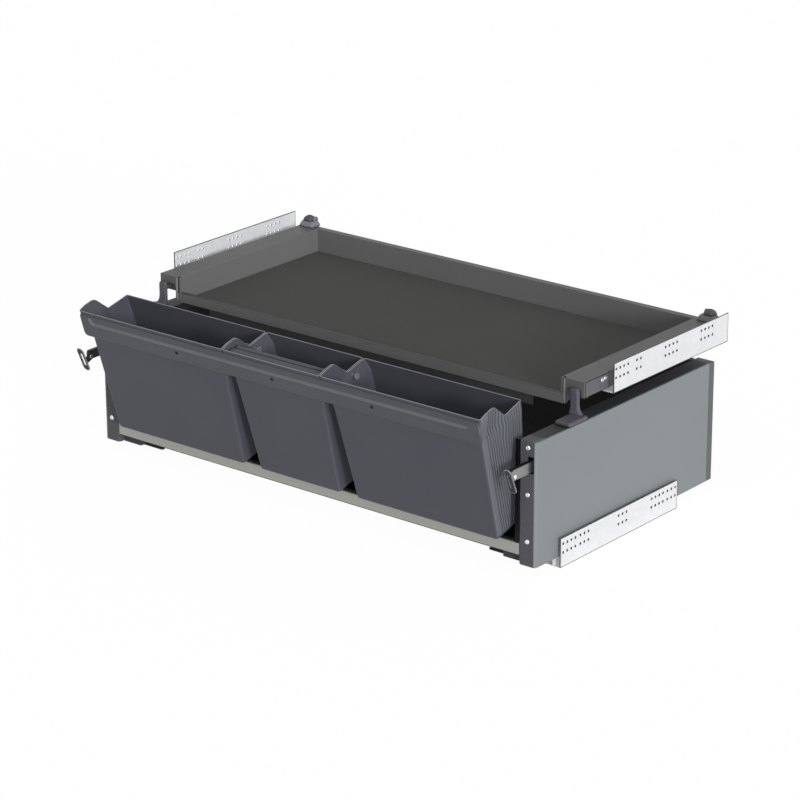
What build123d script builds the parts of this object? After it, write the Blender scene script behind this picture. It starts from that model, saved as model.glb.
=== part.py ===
from build123d import *
import math
import os

# A pull-out pot basket for a kitchen base cabinet: a deep drawer and a shallow tray above it, both
# on concealed slides, with a row of three leaning boxes in the drawer's front.
# X is across the cabinet, Y runs from the drawer's front to its back and Z is up. The pieces are
# drawn from the drawer's front face and its underside, and moved to the row's origin when written.
# The right side is drawn, and the left side is its mirror image.

# Cabinet and drawer
drawer_width = 850.0
drawer_depth = 446.0
drawer_height = 191.0
wall_clearance = 7.0
side_width = 30.0
sheet = 1.5
panel_sheet = 2.6
bevel_width = 4.6
bevel_depth = 12.0
post_depth = 24.0
rear_cap_depth = 11.0
floor_top = 14.0
back_setback = 5.0
back_hem = 10.0

# Front rail and trims
rail_height = 17.5
rail_depth = 12.0
rail_wall = 1.5
trim_width = 8.0
trim_setback = 1.0
trim_thickness = 2.0

# Concealed slides
slide_length = 296.0
slide_sheet = 1.2
slide_height = 25.8
slide_plate_height = 45.7
lower_slide_y = 51.0
upper_slide_setback = 50.0
lower_slide_drop = 14.0
upper_slide_rise = 27.0
lower_channel_inset = 13.0
upper_channel_inset = 26.0
channel_width = 20.2
glide_thickness = 1.5
running_gap = 0.3
upstand_height = 12.0
leg_height = 11.3
middle_rail_height = 17.7
glide_length = 30.0
glide_height = 6.0
plate_hole_diameter = 4.4
plate_hole_pitch = 9.9
plate_lower_row = 22.5
plate_row_spacing = 13.5
lower_front_holes = [(6.5, 36.2), (48.6, 68.4), (143.8, 163.6)]
lower_rear_holes = [(67.5, 37.8), (26.0, 6.2)]
upper_front_holes = [(5.0, 34.7), (57.0, 66.9), (130.0, 159.7)]
upper_rear_holes = [(72.2, 42.5)]

# Door brackets: a strap in each post and a tilting plate on its end
strap_height = 16.5
strap_thickness = 1.5
strap_drop = 29.5
strap_outset = 45.0
strap_length = 105.0
strap_inset = 8.8
slot_width = 11.0
slot_room_below = 2.0
slot_room_above = 7.2
slot_mouth_depth = 6.0
rivet_setback = 7.0
rivet_rise = 5.5
rivet_radius = 2.0
rivet_head_radius = 3.4
rivet_head_height = 2.0
hinge_clearance = 0.05
plate_tilt = 23.0
plate_length = 54.0
plate_width = 14.0
plate_thickness = 1.6
plate_offset = 12.0
plate_drop = 5.0
plate_slot_width = 4.0
plate_slot_length = 13.0
plate_slot_spacing = 24.0
ear_height = 14.0

# Screws
post_screw_inset = 15.0
post_screw_drops = [153.0, 81.0, 9.5]
screw_head_radius = 4.0
screw_head_height = 2.0
screw_radius = 1.9
screw_length = 12.0

# Front clips under the drawer, and their levers
clip_width = 36.0
clip_depth = 28.0
clip_y = 11.0
clip_height = 13.5
lever_length = 54.0
lever_width = 8.0
lever_thickness = 2.0
lever_pivot_inset = 18.0
lever_pivot_setback = 15.0
lever_pin_radius = 2.0
lever_pin_length = 8.0

# Leaning boxes
lean_angle = 15.9
heel_outset = 18.5
heel_drop = 2.0
box_wall = 2.0
box_depth_top = 93.0
box_back_taper = 7.0
box_shoulder_height = 180.0
box_flare = 10.0
box_back_rise = 16.0
box_lip_rise = 6.5
box_hump_depth = 27.0
box_dip_depth = 50.0
box_wave_radius = 16.0
box_heel_radius = 14.0
box_toe_radius = 10.0
box_front_corner = 6.5
box_back_corner = 16.0
rim_outset = 5.3
row_clearance = 6.0
middle_box_width = 190.0
rim_gap = 0.4
end_taper = 6.0
rim_overhang = 10.5

# Front band over the boxes
band_inset = 2.0
band_height = 38.0
band_thickness = 1.7
band_corner = 8.0
groove_depth = 0.6
groove_drop = 2.0
groove_height = 11.0
groove_inset = 21.0
band_screw_rise = 15.6
band_screw_inset = 95.0
peg_radius = 4.0
peg_depth = 67.0
peg_drop = 5.0

# Cradle that carries the boxes
cradle_back_height = 120.0
cradle_gap = 0.3

# Tray
tray_front_y = 126.0
tray_rear_margin = 3.0
tray_outer_setback = 11.0
tray_side_width = 40.0
tray_back_width = 12.0
tray_sheet = 1.2
tray_floor_drop = 13.0
tray_skirt_rise = 2.5
mat_thickness = 1.5
mat_margin = 2.0
lip_height = 15.0
lip_thickness = 7.0
lip_overlap = 7.0

# Corner brackets of the tray
bracket_stand_out = 1.0
bracket_length = 60.0
bracket_solid_length = 34.0
bracket_tongue_length = 22.0
bracket_leg_rise = 4.0
bracket_leg_width = 2.0
notch_width = 27.0
notch_roof = 12.0
notch_depth = 24.0
notch_radius = 6.0
bracket_screw_places = [(44.0, 16.5), (51.5, 17.2)]
bracket_screw_head_radius = 2.6
bracket_screw_head_height = 1.0
bracket_screw_length = 4.0

# Coupling posts on the drawer's sides
coupler_base_width = 29.0
coupler_base_length = 46.0
coupler_base_height = 8.0
coupler_base_chamfer = 2.0
coupler_gap = 2.0
coupler_stem_width = 13.5
coupler_stem_depth = 12.0
coupler_stem_inset = 13.5
coupler_stem_setback = 1.0
coupler_foot_height = 9.0
coupler_foot_spread = 3.0
coupler_head_gap = 1.0
coupler_tongue_length = 14.0
coupler_tongue_height = 16.0
coupler_tongue_drop = 5.0
coupler_tongue_wall = 2.0

# Rear clips on the tray
rear_clip_inner_step = 1.0
rear_clip_overhang = 5.0
rear_clip_lap = 48.0
rear_clip_length = 58.0
rear_clip_base = 7.0
rear_clip_step = 8.0
rear_clip_step_lap = 23.0
rear_clip_step_length = 31.0
rear_clip_step_inset = 5.0
rear_clip_cap_inset = 5.0
rear_clip_cap_height = 8.0
catch_roller_radius = 5.0
catch_roller_width = 5.0
catch_roller_bore = 2.0

# How far a cut runs past the faces that it opens
past = 1.0

# Places that follow from the sizes above
outer_x = drawer_width / 2
wall_x = outer_x + wall_clearance
inner_x = outer_x - side_width
post_outer_x = outer_x - bevel_width
hollow_outer_x = outer_x - panel_sheet
panel_rear_y = drawer_depth - rear_cap_depth
rail_top = floor_top + rail_height
floor_underside = floor_top - sheet
lower_slide_z = -lower_slide_drop
shelf_underside = lower_slide_z + slide_height
post_screw_heights = [drawer_height - drop for drop in post_screw_drops]
strap_outer_x = outer_x - strap_inset
strap_inner_x = strap_outer_x - strap_thickness
strap_bottom = drawer_height - strap_drop - strap_height
rivet_y = rivet_setback - strap_outset
rivet_z = strap_bottom + rivet_rise
clip_bottom = floor_underside - clip_height
lean = math.radians(lean_angle)
box_heel_y = -heel_outset
box_heel_z = rail_top - heel_drop
box_depth_bottom = box_depth_top - box_back_taper
band_bottom = box_shoulder_height
band_top = band_bottom + band_height
box_back_height = box_shoulder_height + box_back_rise
box_front_height = band_top + box_lip_rise
rim_height = box_shoulder_height + box_flare
row_half_width = inner_x - row_clearance
middle_half_width = middle_box_width / 2
band_half_width = row_half_width - band_inset
groove_bottom = band_top - groove_drop - groove_height
groove_half_width = band_half_width - groove_inset
band_screw_height = band_bottom + band_screw_rise
band_screw_x = middle_half_width + band_screw_inset
peg_height = box_shoulder_height - peg_drop
upper_slide_y = tray_front_y + upper_slide_setback
upper_slide_z = drawer_height + upper_slide_rise
tray_top = upper_slide_z + slide_height + tray_sheet
tray_floor_z = upper_slide_z - tray_floor_drop
tray_floor_top = tray_floor_z + tray_sheet
tray_skirt_bottom = upper_slide_z + tray_skirt_rise
tray_outer_half_width = outer_x - tray_outer_setback
tray_inner_half_width = tray_outer_half_width - tray_side_width
tray_rear_y = upper_slide_y + slide_length + tray_rear_margin
tray_back_wall_y = tray_rear_y - tray_back_width
lip_end_x = tray_inner_half_width + lip_overlap
lip_rear_y = tray_front_y + lip_thickness
bracket_outer_x = tray_outer_half_width + bracket_stand_out
bracket_rear_y = tray_front_y + bracket_length
bracket_tongue_rear_y = bracket_rear_y + bracket_tongue_length
bracket_leg_bottom = tray_floor_z + bracket_leg_rise
notch_top = tray_top - notch_roof
coupler_y = tray_front_y - coupler_gap - coupler_base_length
coupler_top = notch_top - coupler_head_gap
rear_clip_inner_x = tray_inner_half_width + rear_clip_inner_step
rear_clip_outer_x = tray_outer_half_width + rear_clip_overhang
rear_clip_y = tray_rear_y - rear_clip_lap
rear_clip_step_y = rear_clip_y + rear_clip_step_lap

# Row origin: on the cabinet floor, midway between the foremost rim and the rearmost clip
front_reach = -box_heel_y + rim_outset * math.cos(lean) + box_front_height * math.sin(lean)
rear_reach = rear_clip_y + rear_clip_length
origin_y = (rear_reach - front_reach) / 2
to_row = Pos(0, -origin_y, -lower_slide_z)


def block(x0, x1, y0, y1, z0, z1):
    """A square-edged block between two opposite corners."""
    return Pos((x0 + x1) / 2, (y0 + y1) / 2, (z0 + z1) / 2) * Box(x1 - x0, y1 - y0, z1 - z0)


def along_x(outline, x0, x1):
    """A straight piece between x0 and x1 with this outline in Y and Z."""
    return extrude(Plane.YZ.offset(x0) * outline, x1 - x0)


def along_y(outline, y0, y1):
    """A straight piece between y0 and y1 with this outline in X and Z."""
    return extrude(Plane.XZ.offset(-y1) * outline, y1 - y0)


def shape_of(points):
    """A flat outline through these corner points, where they are."""
    return Polygon(*points, align=None)


def rod_x(x0, x1, y, z, radius):
    """A round rod along X."""
    return Pos((x0 + x1) / 2, y, z) * Rot(0, 90, 0) * Cylinder(radius, x1 - x0)


def rod_y(x, y0, y1, z, radius):
    """A round rod along Y."""
    return Pos(x, (y0 + y1) / 2, z) * Rot(90, 0, 0) * Cylinder(radius, y1 - y0)


def mirrored(shape):
    """The same piece for the left side."""
    return mirror(shape, about=Plane.YZ)


def write(name, shape):
    """Write one piece at its place in the row."""
    export_step(to_row * shape, f"parts/{name}.step")


def write_pair(name, right):
    """Write a piece of the right side and its mirror image."""
    write(f"{name}_right", right)
    write(f"{name}_left", mirrored(right))


def write_group(name, shapes):
    """Write separate solids, such as like screws, under one name."""
    export_step(Compound(children=[to_row * shape for shape in shapes]), f"parts/{name}.step")


os.makedirs("parts", exist_ok=True)


# Slides. A section's distances run inwards from the cabinet wall and up from the flange.

def channel_x(inset):
    """The outer and inner faces of a slide's channel."""
    outer = wall_x - inset
    return outer, outer - channel_width


def from_rear_end(spans):
    """First and last hole of these groups from the slide's front end, given from its rear end."""
    return [(slide_length - first, slide_length - last) for first, last in spans]


def cabinet_rail(inset, y, z, hole_spans):
    """An angled rail: a drilled plate on the cabinet wall and a flange with two upstands."""
    outer, inner = channel_x(inset)
    end = y + slide_length
    rail = block(wall_x - slide_sheet, wall_x, y, end, z, z + slide_plate_height)
    rail += block(inner, wall_x - slide_sheet, y, end, z, z + slide_sheet)
    for face in (outer - slide_sheet, inner):
        rail += block(face, face + slide_sheet, y, end, z + slide_sheet, z + upstand_height)
    for first, last in hole_spans:
        for column in range(round((last - first) / plate_hole_pitch) + 1):
            hole_y = y + first + column * plate_hole_pitch
            for row in range(2):
                hole_z = z + plate_lower_row + row * plate_row_spacing
                rail -= rod_x(wall_x - 2 * slide_sheet, wall_x + slide_sheet, hole_y, hole_z,
                              plate_hole_diameter / 2)
    return rail


def carried_rail(inset, y, z):
    """The downward channel that rides over the middle rail and carries the drawer or the tray."""
    outer, inner = channel_x(inset)
    end = y + slide_length
    top = z + slide_height
    rail = block(inner, outer, y, end, top - slide_sheet, top)
    for face in (outer - slide_sheet, inner):
        rail += block(face, face + slide_sheet, y, end, top - leg_height, top - slide_sheet)
    return rail


def middle_faces(inset):
    """The outer and inner faces of the middle rail, a glide and a gap inside the channel's walls."""
    outer, inner = channel_x(inset)
    step = slide_sheet + running_gap + glide_thickness
    return outer - step, inner + step


def middle_rail(inset, y, z):
    """The square tube that runs out half as far as the drawer."""
    outer, inner = middle_faces(inset)
    bottom = z + slide_sheet + running_gap + glide_thickness
    tube = block(inner, outer, y, y + slide_length, bottom, bottom + middle_rail_height)
    return tube - block(inner + slide_sheet, outer - slide_sheet, y - past,
                        y + slide_length + past, bottom + slide_sheet,
                        bottom + middle_rail_height - slide_sheet)


def glides(inset, y, z):
    """Nylon pads on the middle rail: the rear ones bear on the flange, the front ones carry the load."""
    outer, inner = middle_faces(inset)
    bottom = z + slide_sheet + running_gap + glide_thickness
    top = bottom + middle_rail_height
    under = z + slide_height - slide_sheet - running_gap
    low = z + upstand_height - glide_height
    high = z + slide_height - leg_height
    rear = y + slide_length - glide_length
    pads = []
    for start in (rear, rear - 2 * glide_length):
        stop = start + glide_length
        pads.append(block(inner, outer, start, stop, bottom - glide_thickness, bottom))
        pads.append(block(outer, outer + glide_thickness, start, stop, low, low + glide_height))
        pads.append(block(inner - glide_thickness, inner, start, stop, low, low + glide_height))
    for start in (y, y + 2 * glide_length):
        stop = start + glide_length
        pads.append(block(inner, outer, start, stop, top, under))
        pads.append(block(outer, outer + glide_thickness, start, stop, high, high + glide_height))
        pads.append(block(inner - glide_thickness, inner, start, stop, high, high + glide_height))
    return pads


lower_hole_spans = lower_front_holes + from_rear_end(lower_rear_holes)
upper_hole_spans = upper_front_holes + from_rear_end(upper_rear_holes)
for level, inset, slide_y, slide_z, hole_spans in (
        ("lower", lower_channel_inset, lower_slide_y, lower_slide_z, lower_hole_spans),
        ("upper", upper_channel_inset, upper_slide_y, upper_slide_z, upper_hole_spans)):
    write_pair(f"{level}_cabinet_rail", cabinet_rail(inset, slide_y, slide_z, hole_spans))
    write_pair(f"{level}_middle_rail", middle_rail(inset, slide_y, slide_z))
    write_pair(f"{level}_carrying_rail", carried_rail(inset, slide_y, slide_z))
    right_glides = glides(inset, slide_y, slide_z)
    write_group(f"{level}_glides", right_glides + [mirrored(pad) for pad in right_glides])


# Drawer

def outer_panel():
    """The grey outer panel, bevelled at the front where it meets the post."""
    outline = shape_of([(post_outer_x, 0), (outer_x, bevel_depth), (outer_x, panel_rear_y),
                        (hollow_outer_x, panel_rear_y), (hollow_outer_x, post_depth),
                        (post_outer_x, post_depth)])
    return extrude(outline, drawer_height)


def side_frame():
    """The inner wall, the band on top and the shelf that stands on the slide."""
    top = drawer_height
    wall = block(inner_x, inner_x + sheet, post_depth, panel_rear_y, 0, top - sheet)
    band = block(inner_x, hollow_outer_x, post_depth, panel_rear_y, top - sheet, top)
    shelf = block(inner_x + sheet, hollow_outer_x, post_depth, panel_rear_y,
                  shelf_underside, shelf_underside + sheet)
    return wall + band + shelf


def rear_cap():
    """The dark cap on the side's rear end, open where the middle rail passes."""
    outer, inner = channel_x(lower_channel_inset)
    cap = block(inner_x, outer_x, panel_rear_y, drawer_depth, 0, drawer_height)
    return cap - block(inner - 2 * running_gap, outer + 2 * running_gap,
                       panel_rear_y - past, drawer_depth + past, -past, shelf_underside)


def front_post():
    """The dark post at the drawer's front corner, with the slot that the door strap slides in."""
    post = block(inner_x, post_outer_x, 0, post_depth, 0, drawer_height)
    mouth_x = strap_inner_x + strap_thickness / 2 - slot_width / 2
    strap_top = strap_bottom + strap_height
    post -= block(mouth_x, mouth_x + slot_width, -past, slot_mouth_depth,
                  strap_bottom - slot_room_below, strap_top + slot_room_above)
    post -= block(strap_inner_x - running_gap, strap_outer_x + running_gap, 0, post_depth + past,
                  strap_bottom - running_gap, strap_top + running_gap)
    for height in post_screw_heights:
        post -= rod_y(outer_x - post_screw_inset, -past, screw_length, height, screw_radius)
    return post


def post_screws():
    """Three screws in the face of each post."""
    x = outer_x - post_screw_inset
    screws = []
    for height in post_screw_heights:
        screw = rod_y(x, -screw_head_height, 0, height, screw_head_radius)
        screw += rod_y(x, 0, screw_length, height, screw_radius)
        screws.append(screw)
    return screws + [mirrored(screw) for screw in screws]


def inner_trim():
    """The black strip beside the post, standing on the front rail."""
    return block(inner_x - trim_width, inner_x, trim_setback, trim_setback + trim_thickness,
                 rail_top, drawer_height - trim_setback)


def drawer_back():
    """The back wall, folded forwards along its top."""
    rear = drawer_depth - back_setback
    wall = block(-inner_x, inner_x, rear - sheet, rear, floor_top, drawer_height)
    return wall + block(-inner_x, inner_x, rear - back_hem, rear - sheet, drawer_height - sheet,
                        drawer_height)


def front_rail():
    """The champagne tube between the posts."""
    tube = block(-inner_x, inner_x, 0, rail_depth, floor_top, rail_top)
    return tube - block(-inner_x - past, inner_x + past, rail_wall, rail_depth - rail_wall,
                        floor_top + rail_wall, rail_top - rail_wall)


write_pair("outer_panel", outer_panel())
write_pair("side_frame", side_frame())
write_pair("rear_cap", rear_cap())
write_pair("front_post", front_post())
write_pair("inner_trim", inner_trim())
write_group("post_screws", post_screws())
write("drawer_floor", block(-inner_x, inner_x, trim_setback, drawer_depth - back_setback,
                            floor_underside, floor_top))
write("drawer_back", drawer_back())
write("front_rail", front_rail())


# Clips under the drawer's front corners, which hook the drawer on its slides

lever_x = inner_x - lever_pivot_inset
lever_y = clip_y + lever_pivot_setback
lever_top = clip_bottom - running_gap


def front_clip():
    """A block under the floor with the bore of its lever."""
    clip = block(inner_x - clip_width, inner_x, clip_y, clip_y + clip_depth,
                 clip_bottom, floor_underside)
    bore_top = lever_top + lever_pin_length + running_gap
    bore = Cylinder(lever_pin_radius + hinge_clearance, bore_top - clip_bottom + past)
    return clip - Pos(lever_x, lever_y, (bore_top + clip_bottom - past) / 2) * bore


def clip_lever():
    """A thin lever that reaches inwards from its pin."""
    reach = lever_length - lever_width / 2
    plate = Pos(lever_x - reach / 2, lever_y) * SlotCenterToCenter(reach, lever_width)
    lever = extrude(Pos(0, 0, lever_top - lever_thickness) * plate, lever_thickness)
    pin = Pos(lever_x, lever_y, lever_top + lever_pin_length / 2)
    return lever + pin * Cylinder(lever_pin_radius, lever_pin_length)


write_pair("front_clip", front_clip())
write_pair("clip_lever", clip_lever())


# Door brackets

def door_strap():
    """The flat strap that slides in the post and carries the rivet."""
    strap = block(strap_inner_x, strap_outer_x, -strap_outset, strap_length - strap_outset,
                  strap_bottom, strap_bottom + strap_height)
    nose = strap.edges().filter_by(Axis.X).sort_by(Axis.Y)[:2]
    strap = fillet(nose, strap_height / 3)
    return strap - rod_x(strap_inner_x - past, strap_outer_x + past, rivet_y, rivet_z,
                         rivet_radius)


def door_rivet():
    """The rivet: a flat head on each side, and the shank that the plate turns on."""
    shank_end = strap_inner_x - running_gap - plate_thickness - running_gap
    rivet = rod_x(shank_end, strap_outer_x, rivet_y, rivet_z, rivet_radius)
    rivet += rod_x(strap_outer_x, strap_outer_x + rivet_head_height, rivet_y, rivet_z,
                   rivet_head_radius)
    return rivet + rod_x(shank_end - rivet_head_height / 2, shank_end, rivet_y, rivet_z,
                         rivet_head_radius)


def door_plate():
    """A slotted plate with an ear on the rivet, drawn upright and then tilted about the rivet."""
    ear_outer = strap_inner_x - running_gap
    front = -plate_offset
    middle_x = ear_outer - plate_width / 2
    face = SlotOverall(plate_length, plate_width, rotation=90)
    for side in (-1, 1):
        face -= Pos(0, side * plate_slot_spacing / 2) * SlotOverall(
            plate_slot_length, plate_slot_width, rotation=90)
    plate = extrude(Plane.XZ.offset(-front) * Pos(middle_x, -plate_drop) * face, plate_thickness)
    ear = block(ear_outer - plate_thickness, ear_outer, front - plate_thickness / 2,
                ear_height / 2, -ear_height / 2, ear_height / 2)
    ear = fillet(ear.edges().filter_by(Axis.X).sort_by(Axis.Y)[-2:], ear_height / 3)
    ear -= rod_x(ear_outer - 2 * plate_thickness, ear_outer + plate_thickness, 0, 0,
                 rivet_radius + hinge_clearance)
    return Pos(0, rivet_y, rivet_z) * Rot(plate_tilt, 0, 0) * (plate + ear)


write_pair("door_strap", door_strap())
write_pair("door_rivet", door_rivet())
write_pair("door_plate", door_plate())


# Leaning boxes, drawn upright from the heel of their front wall and then leant forwards

lean_over = Pos(0, box_heel_y, box_heel_z) * Rot(lean_angle, 0, 0)


def lean_z(y, height):
    """Z at this Y on the leaning plane at this height above the boxes' underside."""
    depth = (y - box_heel_y + height * math.sin(lean)) / math.cos(lean)
    return box_heel_z + depth * math.sin(lean) + height * math.cos(lean)


def lean_point(depth, height):
    """Y and Z of a point given from the boxes' heel."""
    y = box_heel_y + depth * math.cos(lean) - height * math.sin(lean)
    return y, box_heel_z + depth * math.sin(lean) + height * math.cos(lean)


def level_outline(x0, x1, depth0, depth1, height, inset):
    """One level outline of a box, with small corners in front and large ones behind."""
    width = x1 - x0 - 2 * inset
    depth = depth1 - depth0 - 2 * inset
    plate = Pos((x0 + x1) / 2, (depth0 + depth1) / 2) * Rectangle(width, depth)
    plate = fillet(plate.vertices().sort_by(Axis.Y)[:2], box_front_corner - inset)
    plate = fillet(plate.vertices().sort_by(Axis.Y)[-2:], box_back_corner - inset)
    return Pos(0, 0, height) * plate


def box_body(x0, x1, inset):
    """A tapered tub with a flared rim: its outside, or its hollow when there is an inset."""
    body_x0 = x0 + rim_overhang
    body_x1 = x1 - rim_overhang
    bottom = level_outline(body_x0 + end_taper, body_x1 - end_taper, 0, box_depth_bottom, 0, inset)
    shoulder = level_outline(body_x0, body_x1, 0, box_depth_top, box_shoulder_height, inset)
    rim = level_outline(x0, x1, -rim_outset, box_depth_top, rim_height, inset)
    body = loft([bottom, shoulder], ruled=True) + loft([shoulder, rim], ruled=True)
    body += extrude(rim, box_front_height - box_shoulder_height)
    heel = shape_of([(inset, inset), (box_depth_bottom - inset, inset),
                     (2 * box_depth_top, box_shoulder_height), (2 * box_depth_top, 2 * box_front_height),
                     (-2 * rim_outset, 2 * box_front_height), (-2 * rim_outset, box_shoulder_height / 2),
                     (inset, box_shoulder_height / 2)])
    corners = heel.vertices().sort_by(Axis.Y)[:2].sort_by(Axis.X)
    heel = fillet(corners[:1], box_heel_radius - inset)
    heel = fillet(heel.vertices().sort_by_distance((box_depth_bottom - inset, inset))[:1],
                  box_toe_radius - inset)
    return body & along_x(heel, x0 - past, x1 + past)


def above_rim(x0, x1):
    """What is cut away above the rim: high in front, a smooth wave down, and level behind."""
    outline = shape_of([(-box_depth_top, box_front_height), (box_hump_depth, box_front_height),
                        (box_dip_depth, box_back_height), (2 * box_depth_top, box_back_height),
                        (2 * box_depth_top, 2 * box_front_height),
                        (-box_depth_top, 2 * box_front_height)])
    bends = [outline.vertices().sort_by_distance(point)[0]
             for point in ((box_hump_depth, box_front_height), (box_dip_depth, box_back_height))]
    outline = fillet(bends, box_wave_radius)
    return along_x(outline, x0 - past, x1 + past)


def leaning_box(x0, x1, screw_x):
    """One open box with the hole of its band screw."""
    tub = box_body(x0, x1, 0) - box_body(x0, x1, box_wall) - above_rim(x0, x1)
    tub -= rod_y(screw_x, -2 * rim_outset, box_wall, band_screw_height, screw_radius)
    return lean_over * tub


def front_band():
    """The long band that the three boxes hang together on, with a groove along it."""
    plate = Pos(0, (band_bottom + band_top) / 2) * Rectangle(2 * band_half_width,
                                                             band_top - band_bottom)
    plate = fillet(plate.vertices().sort_by(Axis.Y)[:2], band_corner)
    front = -rim_outset - band_thickness
    band = extrude(Plane.XZ.offset(rim_outset) * plate, band_thickness)
    groove = Pos(0, groove_bottom + groove_height / 2) * SlotOverall(2 * groove_half_width,
                                                                     groove_height)
    band -= extrude(Plane.XZ.offset(-front - groove_depth) * groove, groove_depth)
    for x in (-band_screw_x, 0, band_screw_x):
        band -= rod_y(x, front - past, past - rim_outset, band_screw_height, screw_radius)
    return lean_over * band


def band_screws():
    """One screw through the band into each box."""
    front = -rim_outset - band_thickness
    screws = []
    for x in (-band_screw_x, 0, band_screw_x):
        screw = rod_y(x, front - screw_head_height, front, band_screw_height, screw_head_radius)
        screw += rod_y(x, front, box_wall - rim_outset, band_screw_height, screw_radius)
        screws.append(lean_over * screw)
    return screws


def joining_pegs():
    """A peg between each side box and the middle one, behind the wave of the rim."""
    taper = end_taper * (1 - peg_height / box_shoulder_height)
    start = middle_half_width - rim_overhang - taper
    stop = middle_half_width + rim_overhang + taper
    peg = lean_over * rod_x(start, stop, peg_depth, peg_height, peg_radius)
    return [peg, mirrored(peg)]


def box_cradle():
    """A bent sheet on the front rail: a leaning floor under the boxes and a leaning wall behind."""
    front = trim_setback + trim_thickness + running_gap
    top = -cradle_gap
    under = top - sheet
    back = box_depth_top + cradle_gap
    outline = shape_of([(front, rail_top), (front + sheet, rail_top),
                        (front + sheet, lean_z(front + sheet, under)),
                        lean_point(back + sheet, under),
                        lean_point(back + sheet, cradle_back_height),
                        lean_point(back, cradle_back_height), lean_point(back, top),
                        (front, lean_z(front, top))])
    return along_x(outline, -inner_x, inner_x)


rim_half_gap = rim_gap / 2
write("box_left", leaning_box(-row_half_width, -middle_half_width - rim_half_gap, -band_screw_x))
write("box_middle", leaning_box(-middle_half_width + rim_half_gap,
                                middle_half_width - rim_half_gap, 0))
write("box_right", leaning_box(middle_half_width + rim_half_gap, row_half_width, band_screw_x))
write("front_band", front_band())
write_group("band_screws", band_screws())
write_group("joining_pegs", joining_pegs())
write("box_cradle", box_cradle())


# Coupling posts, which stand on the drawer's sides and take the tray along

def coupling_post():
    """A base on the drawer's side, a stem and a tongue that reaches into the tray's bracket."""
    base_top = drawer_height + coupler_base_height
    base = block(outer_x - coupler_base_width, outer_x, coupler_y, coupler_y + coupler_base_length,
                 drawer_height, base_top)
    base = chamfer(base.faces().sort_by(Axis.Z)[-1].edges(), coupler_base_chamfer)
    stem_outer = outer_x - coupler_stem_inset
    stem_x = stem_outer - coupler_stem_width / 2
    stem_rear = coupler_y + coupler_base_length - coupler_stem_setback
    stem_y = stem_rear - coupler_stem_depth / 2
    stem = block(stem_outer - coupler_stem_width, stem_outer, stem_rear - coupler_stem_depth,
                 stem_rear, base_top, coupler_top)
    crown = stem.edges().filter_by(Axis.Y).sort_by(Axis.Z)[-2:]
    stem = fillet(crown, coupler_stem_width / 3)
    foot_bottom = Pos(stem_x, stem_y - coupler_foot_spread / 2, base_top) * Rectangle(
        coupler_stem_width + 2 * coupler_foot_spread, coupler_stem_depth + coupler_foot_spread)
    foot_top = Pos(stem_x, stem_y, base_top + coupler_foot_height) * Rectangle(
        coupler_stem_width, coupler_stem_depth)
    tongue_top = coupler_top - coupler_tongue_drop
    tongue = block(stem_outer - coupler_stem_width + coupler_tongue_wall,
                   stem_outer - coupler_tongue_wall, stem_rear, stem_rear + coupler_tongue_length,
                   tongue_top - coupler_tongue_height, tongue_top)
    return base + stem + loft([foot_bottom, foot_top], ruled=True) + tongue


write_pair("coupling_post", coupling_post())


# Tray

def tray_side():
    """A bent sheet: the inner wall, the broad band on top and the skirt outside the slide."""
    top = tray_top
    under = top - tray_sheet
    wall_outer = tray_inner_half_width + tray_sheet
    side = block(tray_inner_half_width, wall_outer, lip_rear_y, tray_rear_y, tray_floor_z, top)
    side += block(wall_outer, lip_end_x, lip_rear_y, bracket_tongue_rear_y, under, top)
    side += block(wall_outer, tray_outer_half_width, bracket_tongue_rear_y, tray_rear_y, under, top)
    return side + block(tray_outer_half_width - tray_sheet, tray_outer_half_width, bracket_rear_y,
                        tray_rear_y, tray_skirt_bottom, under)


def tray_back():
    """A bent sheet: the inner wall, a band on top and a skirt behind."""
    half = tray_inner_half_width
    wall = block(-half, half, tray_back_wall_y, tray_back_wall_y + tray_sheet, tray_floor_z,
                 tray_top)
    band = block(-half, half, tray_back_wall_y + tray_sheet, tray_rear_y, tray_top - tray_sheet,
                 tray_top)
    skirt = block(-half, half, tray_rear_y - tray_sheet, tray_rear_y, tray_skirt_bottom,
                  tray_top - tray_sheet)
    return wall + band + skirt


def corner_bracket():
    """A plastic corner with an arched notch in front, hollow behind where the slide begins."""
    top = tray_top
    under = top - tray_sheet
    solid_rear = tray_front_y + bracket_solid_length
    skin = bracket_outer_x - tray_outer_half_width + tray_sheet
    bracket = block(lip_end_x, bracket_outer_x, tray_front_y, solid_rear, tray_skirt_bottom, top)
    bracket += block(lip_end_x, lip_end_x + bracket_leg_width, tray_front_y, solid_rear,
                     bracket_leg_bottom, tray_skirt_bottom)
    bracket += block(lip_end_x, tray_outer_half_width, solid_rear, bracket_tongue_rear_y, under,
                     top)
    bracket += block(bracket_outer_x - skin, bracket_outer_x, solid_rear, bracket_rear_y,
                     tray_skirt_bottom, top)
    notch_x = lip_end_x + bracket_leg_width + notch_width / 2
    notch = Pos(notch_x, (bracket_leg_bottom + notch_top) / 2 - past) * Rectangle(
        notch_width, notch_top - bracket_leg_bottom + 2 * past)
    notch = fillet(notch.vertices().sort_by(Axis.Y)[-2:], notch_radius)
    bracket -= along_y(notch, tray_front_y - past, tray_front_y + notch_depth)
    for y, z in bracket_screw_places:
        bracket -= rod_x(bracket_outer_x - bracket_screw_length, bracket_outer_x + past,
                         tray_front_y + y, tray_skirt_bottom + z, screw_radius)
    return bracket


def bracket_screws():
    """Two screws in the outer face of each corner bracket."""
    screws = []
    for y, z in bracket_screw_places:
        place = (tray_front_y + y, tray_skirt_bottom + z)
        screw = rod_x(bracket_outer_x, bracket_outer_x + bracket_screw_head_height, *place,
                      bracket_screw_head_radius)
        screw += rod_x(bracket_outer_x - bracket_screw_length, bracket_outer_x, *place,
                       screw_radius)
        screws.append(screw)
    return screws + [mirrored(screw) for screw in screws]


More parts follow.
